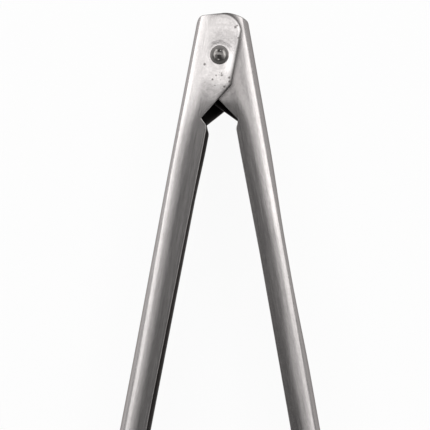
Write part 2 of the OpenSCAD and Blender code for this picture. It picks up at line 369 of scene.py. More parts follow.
# %% [markdown]
# ## The scalloped scoop
# The jaw is pressed from the same strip, so the grid simply goes on: over 22 mm the channel's row
# turns into a row of an ellipsoid, then the sides run straight with three shallow lobes, and the
# end closes as a quarter ellipsoid with six. Cutting scallops with booleans would leave ragged
# edges. Here the rim's angle itself rises and falls as a cosine, which keeps it clean.

# %% Sizes and rows of the jaw
scoop_l, rim_reach, scallop_h, morph_l = 16.0, 2.05, 1.3, 22.0
rim_turn, corner_turn = math.radians(80), math.radians(30)
side_lobes, front_lobes = 3, 6
morph_rows, side_rows, scoop_rows = 22, 54, 34


def jaw(arm, plain_d, plain_z):
    """Rows of the jaw's outside. A point of the ellipsoid turned a across and e along is
    (h (1 - cos a cos e), w sin a, l cos a sin e), and the channel's row blends into it."""
    h = (arm["web"] + rim_reach) / (1 - math.cos(rim_turn) * math.cos(corner_turn))
    w = pivot[2] / math.sin(rim_turn)
    step = np.r_[0, np.hypot(np.diff(plain_d), np.diff(plain_z))].cumsum()
    share = step / step[-1]
    row = np.arange(1, morph_rows + side_rows + scoop_rows + 1)[:, None]
    side = np.clip((row - morph_rows) / side_rows, 0, 1)
    end = np.clip((row - morph_rows - side_rows) / scoop_rows, 0, 1)
    blend = smooth(row / morph_rows)
    rim = rim_flat + rim_r
    wave = scallop_h / 2 * (1 - np.cos(2 * math.pi * side_lobes * side))
    a = (rim_turn - wave / h / math.sin(rim_turn) - rim / h) * (1 - 2 * share)
    low = math.cos(rim_turn) * math.cos(corner_turn) / np.cos(a)
    notched = scallop_h / 2 * (1 - np.cos(2 * math.pi * front_lobes * share))
    e = end * (np.arccos(low) - notched / h - rim / h)
    d = plain_d * (1 - blend) + h * (1 - np.cos(a) * np.cos(e)) * blend
    z = plain_z * (1 - blend) + w * np.sin(a) * blend
    at = morph_l * np.clip(row / morph_rows, 0, 1) + (jaw_l - morph_l - scoop_l) * side
    v = jaw_l - arm_l - at - scoop_l * np.cos(a) * np.sin(e) * blend
    return d - arm["web"], v, z


ju, jv, jz = jaw(arms["outer"], u[-1] + arms["outer"]["web"], z[-1])
print(f"jaw ends {-jv.min():.2f} mm from the pivot and is {2 * jz.max():.2f} mm wide")

# %% [markdown]
# ## From a skin to a sheet
# A Solidify modifier would give the sheet its 1 mm, but it can't keep one finish outside and
# another inside, nor round the cut edge. So the inside skin is the outside one moved in along its
# normal, and a rounded rim of eight narrow strips joins them round the border and round each
# rivet hole. Every vertex also carries marks from 0 to 1: how near it is to a cut edge, which gets
# painted shade, whether it is on the inside, which is matt and painted dark as shade, and whether
# it is on the web, whose outside gets painted shade.

# %% Build a closed sheet from one grid
EDGE_SHADE_REACH = 0.8                    # mm from a cut edge over which its painted shade fades
INSIDE_SHADE_FROM, INSIDE_SHADE_OVER = 150, 70      # mm down the arm where the inside's painted shade and matt finish start to end, and over
BACK_FROM, BACK_OVER = 205, 30      # the same for the web's painted shade
BACK_TURN, BACK_SOFT = 0.3, 0.5     # how far a normal faces backwards where the web's painted shade starts


def normals_of(p):
    """Unit normals of a grid: the cross product of its two directions."""
    n = np.cross(np.gradient(p, axis=0), np.gradient(p, axis=1))
    return n / np.linalg.norm(n, axis=2, keepdims=True)


def loop_round(r0, r1, c0, c1, columns):
    """Grid indices round the block of rows r0..r1 and columns c0..c1, as one closed loop."""
    r, c = np.arange(r0, r1 + 1), np.arange(c0, c1 + 1)
    edges = [(r0 + 0 * c, c), (r[1:], c1 + 0 * r[1:]), (r1 + 0 * c[1:], c[-2::-1]),
             (r[-2:0:-1], c0 + 0 * r[-2:0:-1])]
    return np.concatenate([rr * columns + cc for rr, cc in edges])


def rim_strip(points, normals, loop, hole):
    """Rings of the rounded rim along a loop. Each ring is border + T * a + N * b, where N is the
    normal and T points out of the sheet, and (a, b) walks round the cut edge."""
    b, n = points[loop], normals[loop]
    along = np.roll(b, -1, 0) - np.roll(b, 1, 0)
    t = np.cross(along, n)
    t /= np.linalg.norm(t, axis=1, keepdims=True)
    t *= np.sign((t * (b - b.mean(0))).sum()) * (-1 if hole else 1)
    turn = np.radians([0, 30, 60, 90])[:, None]
    r = rim_radius(b[:, 1])
    out = rim_flat + r * np.sin(turn)
    down = r * (1 - np.cos(turn))
    a, c = np.vstack([out, out[::-1]]), np.vstack([down, (sheet_t - down)[::-1]])
    return b + t * a[:, :, None] - n * c[:, :, None]


def sheet(arm, lean):
    """A whole arm: its vertices in the arm's own axes, its faces, its unfolded coordinates
    (across from the web's middle, along from the pivot) and its marks. The painted shade towards a
    cut edge, which also darkens the cut edge itself, fades as exp(-distance / reach) from the
    nearest cut edge."""
    u, v, z = channel(arm, lean)
    squares = np.maximum(abs(u), abs(v)) < HOLE_SQUARE - 1e-6
    u, v, z = open_hole(u, v, z)
    straight = len(v)
    ju, jv, jz = jaw(arm, u[-1] + arm["web"], z[-1])
    p = np.stack([np.vstack([u, ju]), np.vstack([v, jv]), np.vstack([z, jz])], axis=2)
    rows, columns = p.shape[:2]
    normals = normals_of(p)
    normals *= -np.sign(normals[rows // 2, columns // 2, 0])
    step_across = np.linalg.norm(np.diff(p, axis=1), axis=2)
    s = np.hstack([np.zeros((rows, 1)), step_across.cumsum(1)])
    steps = np.linalg.norm(np.diff(p, axis=0), axis=2)
    step_along = np.vstack([np.zeros((1, columns)), steps]).cumsum(0)
    past = step_along[straight:] - step_along[straight - 1]
    along = np.vstack([-p[:straight, :, 1], past - p[straight - 1, :, 1]])
    unfolded = np.stack([s - s[:, columns // 2, None], along], axis=2)
    to_side = np.minimum(s, s[:, -1:] - s)
    to_end = np.minimum(step_along, step_along[-1] - step_along)
    # Painted shade towards the nearest cut edge, which also darkens the cut edge itself.
    edge_dark_and_shade = np.exp(-np.minimum(to_side, to_end) / EDGE_SHADE_REACH).ravel()
    # Painted shade inside the channel, dark and matt, fading down the arm.
    matt_shaded_inside = (1 - smooth((along - INSIDE_SHADE_FROM) / INSIDE_SHADE_OVER)).ravel()
    # Painted shade on the web's outside, where a normal faces backwards, fading down the arm.
    back = smooth((-normals[:, :, 0] - BACK_TURN) / BACK_SOFT)
    back = (back * (1 - smooth((along - BACK_FROM) / BACK_OVER))).ravel()

    # The squares inside the rivet holes have no cells.
    empty = np.zeros((rows, columns), bool)
    empty[:straight] = squares
    cells = ~(empty[:-1, :-1] | empty[1:, :-1] | empty[:-1, 1:] | empty[1:, 1:])
    r, c = np.nonzero(cells)
    a = r * columns + c
    skin = np.c_[a, a + 1, a + columns + 1, a + columns]
    m = rows * columns
    flat_p, flat_n = p.reshape(m, 3), normals.reshape(m, 3)
    points = [flat_p, flat_p - sheet_t * flat_n]
    faces = [skin, skin[:, ::-1] + m]
    flat_at = unfolded.reshape(m, 2)
    marks = [np.c_[edge_dark_and_shade, 0 * matt_shaded_inside, back], np.c_[edge_dark_and_shade, matt_shaded_inside, back]]
    where = [flat_at] * 2

    hr, hc = np.nonzero(empty)
    loops = [(loop_round(0, rows - 1, 0, columns - 1, columns), False)]
    for one in (hc < columns // 2, hc > columns // 2):
        block = (hr.min() - 1, hr.max() + 1, hc[one].min() - 1, hc[one].max() + 1)
        loops.append((loop_round(*block, columns), True))
    base = 2 * m
    for loop, hole in loops:
        rings = rim_strip(flat_p, flat_n, loop, hole)
        count, n = rings.shape[:2]
        index = np.vstack([loop, base + np.arange(count * n).reshape(count, n), loop + m])
        turned = np.roll(index, -1, 1)
        q = np.stack([index[:-1], index[1:], turned[1:], turned[:-1]], axis=2).reshape(-1, 4)
        faces.append(q[:, ::-1] if hole else q)
        points.append(rings.reshape(-1, 3))
        inside = np.linspace(0, 1, count)[:, None] * matt_shaded_inside[loop]
        marks.append(np.c_[np.ones(count * n), inside.ravel(), np.tile(back[loop], count)])
        where.append(np.tile(flat_at[loop], (count, 1)))
        base += count * n
    return np.vstack(points), np.vstack(faces), np.vstack(where), np.vstack(marks)


points, faces, where, marks = sheet(arms["outer"], 0.03)
print("outer arm sheet:", len(points), "points,", len(faces), "faces")

# %% [markdown]
# ## From arrays to a piece
# All pieces go through one function. It drops points that no face uses, turns every face outwards
# by the sign of the closed mesh's volume, and stores the unfolded coordinates as a UV map and the
# marks as attributes for the materials to read.

# %% Make a mesh object from arrays
MARKS = ("edge_dark_and_shade", "matt_shaded_inside", "back", "ear", "painted_shadow_line", "painted_highlight")


def enclosed(points, faces):
    """Volume inside a closed mesh: the sum of the signed tetrahedra from the origin."""
    tri = np.vstack([faces[:, [0, i, i + 1]] for i in range(1, faces.shape[1] - 1)])
    p = points[tri]
    return np.einsum("ij,ij->i", p[:, 0], np.cross(p[:, 1], p[:, 2])).sum() / 6


def make_piece(name, points, faces, material, where=None, marks=None, fans=None):
    """A smooth-shaded mesh object at the origin, from points in mm. Fans are extra triangles."""
    corners = np.r_[faces.ravel(), np.zeros(0, int) if fans is None else fans.ravel()]
    used, packed = np.unique(corners, return_inverse=True)
    points = points[used]
    quads = packed[:faces.size].reshape(-1, 4)
    tris = packed[faces.size:].reshape(-1, 3)
    volume = enclosed(points, quads) + (enclosed(points, tris) if len(tris) else 0)
    if volume < 0:
        quads, tris = quads[:, ::-1], tris[:, ::-1]
    mesh = bpy.data.meshes.new(name)
    mesh.from_pydata((points * MM).tolist(), [], quads.tolist() + tris.tolist())
    mesh.polygons.foreach_set("use_smooth", np.ones(len(mesh.polygons), bool))
    if where is not None:
        corner_vertex = np.zeros(len(mesh.loops), np.int32)
        mesh.loops.foreach_get("vertex_index", corner_vertex)
        layer = mesh.uv_layers.new(name="unfolded")
        layer.data.foreach_set("uv", (where[used] * MM)[corner_vertex].astype(np.float32).ravel())
    if marks is not None:
        for column, label in enumerate(MARKS):
            layer = mesh.attributes.new(label, "FLOAT", "POINT")
            layer.data.foreach_set("value", marks[used][:, column].astype(np.float32))
    mesh.update()
    piece = bpy.data.objects.new(name, mesh)
    bpy.context.scene.collection.objects.link(piece)
    mesh.materials.append(material)
    triangles = 2 * len(quads) + len(tris)
    print(f"{name}: {len(used)} points, {triangles} triangles, {abs(volume):.0f} cubic mm")
    return piece


# %% [markdown]
# ## Brushed stainless steel
# The arms are pressed from stainless sheet that was brushed along its length with a fine belt. Up
# close that is thousands of shallow scratches, all one way: they spread a reflection across the
# arm and leave it sharp along it, which is what anisotropy does. The scratches are noise that is
# stretched along the unfolded sheet in three sizes: hair lines, which also change the roughness
# and the bump, short dashes, and broad streaks. A picture of scratches would be quicker to find,
# but it would not follow the bend and the scoop, and these do.

# %% Sizes of the marks on the sheet, in millimetres
HAIR = (0.35, 14)        # one hair line, across and along; a real one is 0.05 and would not show
DASH = (0.55, 3.5)       # one short dash of the belt
STREAK = (1.6, 60)       # one broad streak
MOTTLE = 2.6             # one blotch on an ear
RING, RING_FADE = 1.25, (5, 11)      # between two rings round the rivet, and where they fade out
DENT_FLOOR, DENT_WOBBLE = 0.3, 0.2   # share of a dent that is flat, and its outline's unevenness

# Small dents on the front of the outer ear: right of the pivot, above it, and the size.
DENTS = [(6.6, 11.6, 0.75), (7.4, 12.2, 0.5), (7.9, 7.0, 0.55), (-6.2, -4.0, 0.75),
         (0.2, -7.4, 0.4), (0.9, -7.7, 0.35), (-1.3, -8.7, 0.45), (1.1, -8.6, 0.4),
         (-2.9, -10.3, 0.55), (4.1, -9.6, 0.65), (4.3, -11.3, 0.75), (0.6, -10.6, 0.35),
         (2.2, -13.5, 0.5), (-1.9, -13.0, 0.35)]
ear_front = arms["outer"]["width"] / 2
print(len(DENTS), "dents, on a face", ear_front, "mm in front of the pivot")


# %% The patterns that the steels share
def stretched(t, unfolded, mark, detail, roughness):
    """Noise along the unfolded sheet, whose marks have a size across and a size along."""
    at = add(t, "Mapping", {0: unfolded, 3: (1000 / mark[0], 1000 / mark[1], 1)})
    return add(t, "TexNoise", {"Vector": at, "Scale": 1.0, "Detail": detail,
                               "Roughness": roughness})


def about_pivot(t, pitch):
    """Place from the pivot, distance from the hinge's axis, and rings: a sine of that distance
    which repeats at every pitch."""
    place = add(t, "TexCoord", out="Object")
    centred = add(t, "Mapping", {0: place, 1: tuple(-pivot * MM)})
    flat = add(t, "VectorMath", {0: centred, 1: (1, 1, 0)}, operation="MULTIPLY")
    radius = add(t, "VectorMath", {0: flat}, out="Value", operation="LENGTH")
    turned = add(t, "Math", {0: radius, 1: 2 * math.pi * 1000 / pitch}, operation="MULTIPLY")
    rings = add(t, "Math", {0: turned}, operation="SINE")
    return centred, radius, rings


def dent_mask(t, from_pivot, wobble):
    """0 away from the dents and 1 in their middles: the largest of (1 - distance / size)."""
    deepest = 0.0
    for x, y, size in DENTS:
        centre = (x * MM, y * MM, ear_front * MM)
        gap = add(t, "VectorMath", {0: from_pivot, 1: centre}, out="Value", operation="DISTANCE")
        gap = add(t, "Math", {0: gap, 1: wobble}, operation="ADD")
        depth = add(t, "MapRange", {0: gap, 1: size * MM, 2: size * MM * DENT_FLOOR}, clamp=True)
        deepest = add(t, "Math", {0: depth, 1: deepest}, operation="MAXIMUM")
    return deepest


# %% Brushed stainless, with its inside matt and in painted shade
EAR_PATTERN = 0.7       # share of the blotches, against the brushing, on an ear
RING_DEPTH = 0.16       # how much the rings add to the blotches at most
DENT_DARK = 0.85


def brushed_stainless(name, light, dark, back_shade, ear_shade, dented):
    """Principled metal. Its tone is a pattern between two greys: hair lines, dashes and streaks
    of stretched noise, or on the ears blotches and rings, where the belt could not follow. Each
    mark then mixes in its own colour: painted shade on the web's outside and on the ears, a
    painted highlight in the outer ear's corner and beside the rivet, a painted shadow line beside
    the outer ear's edge, painted shade towards every cut edge, which also darkens the cut edge,
    and painted shade inside the channel, whose cut edge gets a painted glint."""
    material, t = new_material(name)
    unfolded = add(t, "UVMap", uv_map="unfolded")
    hair = stretched(t, unfolded, HAIR, 3.0, 0.6)
    streak = stretched(t, unfolded, STREAK, 2.0, 0.5)
    dash = stretched(t, unfolded, DASH, 2.0, 0.7)
    from_pivot, radius, rings = about_pivot(t, RING)
    place = add(t, "TexCoord", out="Object")
    mottle = add(t, "TexNoise", {"Vector": place, "Scale": 1000 / MOTTLE, "Detail": 6.0,
                                 "Roughness": 0.8})
    marks = {label: add(t, "Attribute", out="Fac", attribute_name=label) for label in MARKS}

    # The pattern, and the two greys that it lies between.
    lines = add(t, "Math", {0: hair, 1: streak}, operation="ADD")
    lines = add(t, "Math", {0: lines, 1: dash}, operation="ADD")
    lines = add(t, "MapRange", {0: lines, 1: 0.9, 2: 2.1})
    near = add(t, "MapRange", {0: radius, 1: RING_FADE[0] * MM, 2: RING_FADE[1] * MM,
                               3: RING_DEPTH, 4: 0.0})
    rings = add(t, "Math", {0: rings, 1: near}, operation="MULTIPLY")
    patches = add(t, "MapRange", {0: mottle, 1: 0.42, 2: 0.58})
    patches = add(t, "Math", {0: patches, 1: rings}, operation="ADD")
    share = add(t, "Math", {0: marks["ear"], 1: EAR_PATTERN}, operation="MULTIPLY")
    pattern = add(t, "Mix", {0: share, 2: lines, 3: patches})
    tone = add(t, "Mix", {0: pattern, 6: linear(dark), 7: linear(light)}, out=2, data_type="RGBA")

    # The marks, from the widest to the narrowest.
    edge = add(t, "MapRange", {0: marks["ear"], 3: 0.1, 4: 0.85})
    # A painted glint along the cut edges of the shaded inside.
    marks["painted_glint"] = add(t, "Math", {0: marks["edge_dark_and_shade"], 1: marks["matt_shaded_inside"]}, operation="MULTIPLY")
    # Painted light and shade: the web's and the ears' painted shade, a painted highlight, a
    # painted shadow line, painted shade at the cut edges and inside, and a painted glint.
    layers = [("back", back_shade, "#8a8685"), ("ear", ear_shade, "#7d7978"),
              ("painted_highlight", 0.8, "#f8f4f3"), ("painted_shadow_line", 0.75, "#4b4847"), ("edge_dark_and_shade", edge, "#4b4847"),
              ("matt_shaded_inside", 1.0, "#3a3736"), ("painted_glint", 0.9, "#8e8a88")]
    for label, strength, colour in layers:
        amount = add(t, "Math", {0: marks[label], 1: strength}, operation="MULTIPLY")
        tone = add(t, "Mix", {0: amount, 6: tone, 7: linear(colour)}, out=2, data_type="RGBA")

    # Roughness and height: the same lines and blotches, and a matt film inside.
    rough = add(t, "MapRange", {0: hair, 1: 0.3, 2: 0.7, 3: 0.15, 4: 0.21})
    blotch = add(t, "MapRange", {0: mottle, 1: 0.35, 2: 0.65, 3: 0.13, 4: 0.23})
    rough = add(t, "Mix", {0: marks["ear"], 2: rough, 3: blotch})
    rough = add(t, "Mix", {0: marks["matt_shaded_inside"], 2: rough, 3: 0.55})
    height = add(t, "Mix", {0: share, 2: hair, 3: patches})
    if dented:
        wobble = add(t, "MapRange", {0: mottle, 1: 0.3, 2: 0.7, 3: -DENT_WOBBLE * MM,
                                     4: DENT_WOBBLE * MM})
        dents = dent_mask(t, from_pivot, wobble)
        deep = add(t, "Math", {0: dents, 1: DENT_DARK}, operation="MULTIPLY")
        tone = add(t, "Mix", {0: deep, 6: tone, 7: linear("#55514f")}, out=2, data_type="RGBA")
        height = add(t, "Math", {0: height, 1: dents}, operation="SUBTRACT")
    bump = add(t, "Bump", {"Strength": 0.25, "Distance": 0.02 * MM, "Height": height})
    tangent = add(t, "Tangent", direction_type="UV_MAP", uv_map="unfolded")
    shader = add(t, "BsdfPrincipled", {
        "Base Color": tone, "Metallic": 1.0, "Roughness": rough, "Anisotropic": 0.9,
        "Specular Tint": linear("#b0acab"), "Normal": bump, "Tangent": tangent})
    add(t, "OutputMaterial", {0: shader})
    return material


# The inner arm's two greys are darker than the outer's: painted shade for the dimmer light on it.
# Next come the web's and the ear's painted shade.
outer_steel = brushed_stainless("brushed_stainless_outer", "#d2cecd", "#b0acab", 0.5, 0.0, True)
inner_steel = brushed_stainless("brushed_stainless_inner", "#c1bdbc", "#9c9897", 0.65, 0.4, False)
print("nodes in the arms' steels:", [len(m.node_tree.nodes) for m in (outer_steel, inner_steel)])

# %% [markdown]
# ## Build the two arms
# Both arms come from the same functions with their own sizes. They are turned half the opening
# angle either way about the pivot and hide the plain CAD arms, which stay in the simulation.
# The outer ear's edge gets a painted shadow line on the inner ear beside it, and the outer ear's
# corner and a spot beside the rivet get a painted highlight. Such marks could be painted by hand.
# Here they come from the distance to the ear's own outline, so they stay in place if a size
# changes.

# %% Where the arms are, and where their marks and painted light and shade go, in millimetres
LEAN = {"outer": 0.03, "inner": 0.05}     # slope of each arm's flanges
EAR_LOW, EAR_SOFT = -26, 16               # height where an ear's mark starts, and its run-in
WEB_SKIP, WEB_SOFT = 4, 5                 # the same across, from the web
SHADOW_LINE_REACH = 0.9                           # width of the painted shadow line beside the outer ear's edge
BAND, BAND_SOFT = 1.6, 0.8                # width of the painted highlight band in the corner
BAND_LOW, BAND_RUN = -3, 7                # height where it starts, and its run-in
SPOT, SPOT_TALL = (5.4, -1.5), 2.4        # middle of the painted highlight spot, and height to width
SPOT_CORE, SPOT_FADE = 0.5, 3.2
OUTLINE_FROM, OUTLINE_POINTS = -6, 200    # where the ear's outline is taken up, and its points


def placed(points, side):
    """From an arm's own axes to the frame: turned by half the opening and moved to the pivot."""
    u, v, z = points.T
    c, s = math.cos(half_open), math.sin(half_open)
    return np.c_[pivot[0] + side * (u * c + v * s), pivot[1] - u * s + v * c, pivot[2] + z]


def ear_outline():
    """Right edge of the outer ear in the frame, from its top to the notch, as close points."""
    arm = arms["outer"]
    top = arm["top"][arm["top"][:, 0] > OUTLINE_FROM]
    edge = edge_line(arm, *arm["front"])
    corners = np.vstack([top, edge[1:ARC_POINTS + 2]])
    step = np.r_[0, np.linalg.norm(np.diff(corners, axis=0), axis=1)].cumsum()
    even = np.linspace(0, step[-1], OUTLINE_POINTS)
    line = np.c_[np.interp(even, step, corners[:, 0]), np.interp(even, step, corners[:, 1]),
                 0 * even]
    return placed(line, arm["side"])[:, :2]


def painted_highlight_mask(arm, points):
    """Painted highlights on the outer ear: a band inside its rounded corner, found from the
    distance to the corner's centre, and a soft spot beside the rivet."""
    u, v = points[:, 0], points[:, 1]
    past_u = np.maximum(u - arm["reach"] + arm["corner_r"], 0)
    past = np.hypot(past_u, np.maximum(v - arm["corner_v"], 0))
    band = smooth((past - arm["corner_r"] + BAND) / BAND_SOFT) * smooth((v - BAND_LOW) / BAND_RUN)
    from_spot = np.hypot(u - SPOT[0], (v - SPOT[1]) / SPOT_TALL)
    return np.maximum(band, 1 - smooth((from_spot - SPOT_CORE) / SPOT_FADE))


def build_arm(name, material, body):
    """One arm's piece. The outer ear's outline leaves a painted shadow line on the inner ear in
    front, whose strength is exp(-(distance / reach)^2)."""
    arm = arms[name]
    points, faces, where, marks = sheet(arm, LEAN[name])
    near = smooth((points[:, 1] - EAR_LOW) / EAR_SOFT)
    near = near * smooth((points[:, 0] + arm["web"] - WEB_SKIP) / WEB_SOFT)
    in_frame = placed(points, arm["side"])
    gap = np.linalg.norm(in_frame[:, None, :2] - ear_outline()[None], axis=2).min(axis=1)
    front = in_frame[:, 2] > pivot[2]
    # Painted shadow of the outer ear's edge on the inner ear.
    painted_shadow_line = np.exp(-(gap / SHADOW_LINE_REACH) ** 2) * front * (name == "inner")
    # Painted highlights on the outer ear's front.
    painted_highlight = painted_highlight_mask(arm, points) * front * (name == "outer")
    marks = np.c_[marks, near, painted_shadow_line, painted_highlight]
    piece = make_piece(f"{name}_arm_sheet", in_frame, faces, material, where, marks)
    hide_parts(f"{name}_arm")
    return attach(piece, body)


build_arm("outer", outer_steel, "outer_half")
build_arm("inner", inner_steel, "inner_half")

# %% [markdown]
# ## Turned pieces
# The rivet and its sleeve are bodies of revolution. The rivet has a low dome on a thin brim in
# front, and behind it the tail was set flat with a punch, which leaves a rolled edge and a shallow
# dimple. A Screw modifier could turn a drawn profile. Here one function carries the profile round
# the hinge's axis, which closes the poles and keeps every size of the profile in sight.

# %% Carry a profile round the axis
def revolve(name, profile, material, steps=96):
    """Profile points are [radius, height]; each is turned to (r cos a, r sin a, h). A profile
    that starts and ends on the axis gets a fan of triangles at each pole, and a closed one joins
    its own start."""
    r, h = np.array(profile, float).T
    a = np.linspace(0, 2 * math.pi, steps, endpoint=False)
    poles = r[0] < 1e-9
    rr, hh = (r[1:-1], h[1:-1]) if poles else (r, h)
    rr, hh = rr[:, None], hh[:, None]
    rings = np.stack([rr * np.cos(a), rr * np.sin(a), hh + 0 * a], axis=2)
    n = len(rr)
    points = rings.reshape(-1, 3)
    k = np.arange(n * steps).reshape(n, steps)
    up = k[1:] if poles else np.roll(k, -1, 0)
    base = k[:-1] if poles else k
    faces = np.stack([base, np.roll(base, -1, 1), np.roll(up, -1, 1), up], axis=2).reshape(-1, 4)
    fans = None
    if poles:
        points = np.vstack([points, [[0, 0, h[0]], [0, 0, h[-1]]]])
        low, high = n * steps, n * steps + 1
        fans = np.vstack([np.c_[np.full(steps, low), np.roll(k[0], -1), k[0]],
                          np.c_[np.full(steps, high), k[-1], np.roll(k[-1], -1)]])
    return make_piece(name, points + pivot, faces, material, fans=fans)


# %% [markdown]
# ## Polished, turned and drawn steel
# The rivet's head was formed in a polished cup, so it is a small dark mirror: almost no scratches,
# faint rings from the tool, and it shows the lamps as hard bright shapes. The sleeve was turned
# and the wire drawn, and both are duller. One plain grey metal would do at a distance, but up
# close it is the finger marks and the fine grain that tell these three apart.

# %% Materials of the turned pieces
CUP_RING, SMUDGE = 0.45, 1.4     # mm between two rings of the cup, and across a finger mark


def polished_rivet_steel():
    """Metal with low roughness. The rings are a wave of the distance from the rivet's axis."""
    material, t = new_material("polished_rivet_steel")
    place = add(t, "TexCoord", out="Object")
    rings = about_pivot(t, CUP_RING)[2]
    smudge = add(t, "TexNoise", {"Vector": place, "Scale": 1000 / SMUDGE, "Detail": 3.0})
    rough = add(t, "MapRange", {0: smudge, 1: 0.3, 2: 0.7, 3: 0.03, 4: 0.08})
    tone = add(t, "Mix", {0: smudge, 6: linear("#757270"), 7: linear("#8b8886")},
               out=2, data_type="RGBA")
    bump = add(t, "Bump", {"Strength": 0.12, "Distance": 0.03 * MM, "Height": rings})
    shader = add(t, "BsdfPrincipled", {"Base Color": tone, "Metallic": 1.0, "Roughness": rough,
                                       "Normal": bump})
    add(t, "OutputMaterial", {0: shader})
    return material


def drawn_steel(name, light, dark, low, high, pitch):
    """Plain drawn or turned steel: fine noise for tone and for roughness, which stays between
    low and high. Pitch is the millimetres across a mark."""
    material, t = new_material(name)
    place = add(t, "TexCoord", out="Object")
    noise = add(t, "TexNoise", {"Vector": place, "Scale": 1000 / pitch, "Detail": 4.0})
    tone = add(t, "Mix", {0: noise, 6: linear(dark), 7: linear(light)}, out=2, data_type="RGBA")
    rough = add(t, "MapRange", {0: noise, 1: 0.3, 2: 0.7, 3: low, 4: high})
    bump = add(t, "Bump", {"Strength": 0.2, "Distance": 0.02 * MM, "Height": noise})
    shader = add(t, "BsdfPrincipled", {"Base Color": tone, "Metallic": 1.0, "Roughness": rough,
                                       "Normal": bump})
    add(t, "OutputMaterial", {0: shader})
    return material


rivet_steel = polished_rivet_steel()
turned_steel = drawn_steel("turned_steel", "#aaa8a6", "#8e8c8a", 0.25, 0.4, 0.6)
spring_steel = drawn_steel("oil_drawn_spring_wire", "#7c7a78", "#5f5d5b", 0.3, 0.45, 0.5)
print("small steels:", [m.name for m in (rivet_steel, turned_steel, spring_steel)])

# %% The rivet and its sleeve
head_h, head_r, tail_r, shank_r = 1.8, 4.0, 3.7, 2.0
roll_r, brim_r, brim_h = 0.7, 0.12, 0.14            # the tail's rolled edge, and the brim
dome_from, dome_low, fillet = 3.72, 0.32, 0.1       # where the dome meets the brim
sunk = sum(depth for depth, inner_r, outer_r in dish)


def rivet_profile():
    """From the tail's middle to the dome's top: dimple, flat, rolled edge, shank, brim, dome."""
    dimple = [[0, 0.35], [0.4, 0.3], [0.8, 0.14], [1.0, 0.03], [1.2, 0]]
    roll = arc((tail_r - roll_r, roll_r), roll_r, -90, 0, 9).tolist()
    tail = [[r, h - ear_front - head_h] for r, h in dimple + roll]
    brim = np.vstack([arc((head_r - brim_r, brim_h - sunk), brim_r, -90, 0, 5),
                      arc((head_r - brim_r, brim_h), brim_r, 0, 90, 5)]).tolist()
    rise = head_h - dome_low
    dome_r = (dome_from ** 2 + rise ** 2) / (2 * rise)
    turn = np.linspace(math.asin(dome_from / dome_r), 0, 18)
    dome = np.c_[dome_r * np.sin(turn), head_h - dome_r * (1 - np.cos(turn))].tolist()
    front = [[r, h + ear_front] for r, h in brim + dome]
    low = ear_front - sunk
    shank = [[tail_r, -low], [shank_r, -low], [shank_r, -low + fillet], [shank_r, low - fillet],
             [shank_r, low], [shank_r + fillet, low + fillet / 10]]
    return tail + shank + front


rivet = revolve("rivet", rivet_profile(), rivet_steel)
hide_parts("pivot_rivet")
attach(rivet, "outer_half")

sleeve_r, sleeve_half, chamfer = 3.2, 9.45, 0.3
to_chamfer = sleeve_half - chamfer
sleeve_profile = [
    [hole_r + chamfer, -sleeve_half], [sleeve_r - chamfer, -sleeve_half], [sleeve_r, -to_chamfer],
    [sleeve_r, to_chamfer], [sleeve_r - chamfer, sleeve_half], [hole_r + chamfer, sleeve_half],
    [hole_r, to_chamfer], [hole_r, -to_chamfer]]
sleeve = revolve("sleeve", sleeve_profile, turned_steel, 64)
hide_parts("spacer_sleeve")
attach(sleeve, "outer_half")

# %% [markdown]
# ## The torsion spring
# A spring is a wire swept along its centre line: a straight leg, six and a half turns, and the
# other leg. Closing the tongs twists it, and that is the effort a hand feels. A curve with a
# bevel would draw the wire too, but a swept grid has rounded ends and is a mesh that can twist.
# Its two ends ride on different arms.

# %% The spring wire
wire_r, coil_r, leg_l, coil_turns = 0.8, 5.0, 28.0, 6
wire_gap, turn_gap = 0.1, 0.15      # from a leg to its arm, and from one turn to the next
end_l, end_r = 0.15, 0.8            # length of a wire's rounded end, and the share at its face


def spring_path():
    """Points of the centre line: coil (r cos a, r sin a, rise * share), with a leg along the
    tangent at either end."""
    leans = [half_open + math.asin(
        (arms[name]["web"] - sheet_t - wire_r - wire_gap - coil_r) / leg_l)
        for name in ("inner", "outer")]
    start, end = leans[0], math.pi - leans[1] + 2 * math.pi * coil_turns
    rise = (2 * wire_r + turn_gap) * (end - start) / (2 * math.pi)
    share = np.linspace(0, 1, 320)
    a = start + (end - start) * share
    coil = np.c_[coil_r * np.cos(a), coil_r * np.sin(a), rise * (share - 0.5)]
    legs = []
    for lean, way, origin in ((leans[0], 1, coil[0]), (leans[1], -1, coil[-1])):
        reach = np.linspace(0, leg_l, 16)[1:, None]
        legs.append(origin + reach * np.array([way * math.sin(lean), -math.cos(lean), 0]))
    return np.vstack([legs[0][::-1], coil, legs[1]]), rise


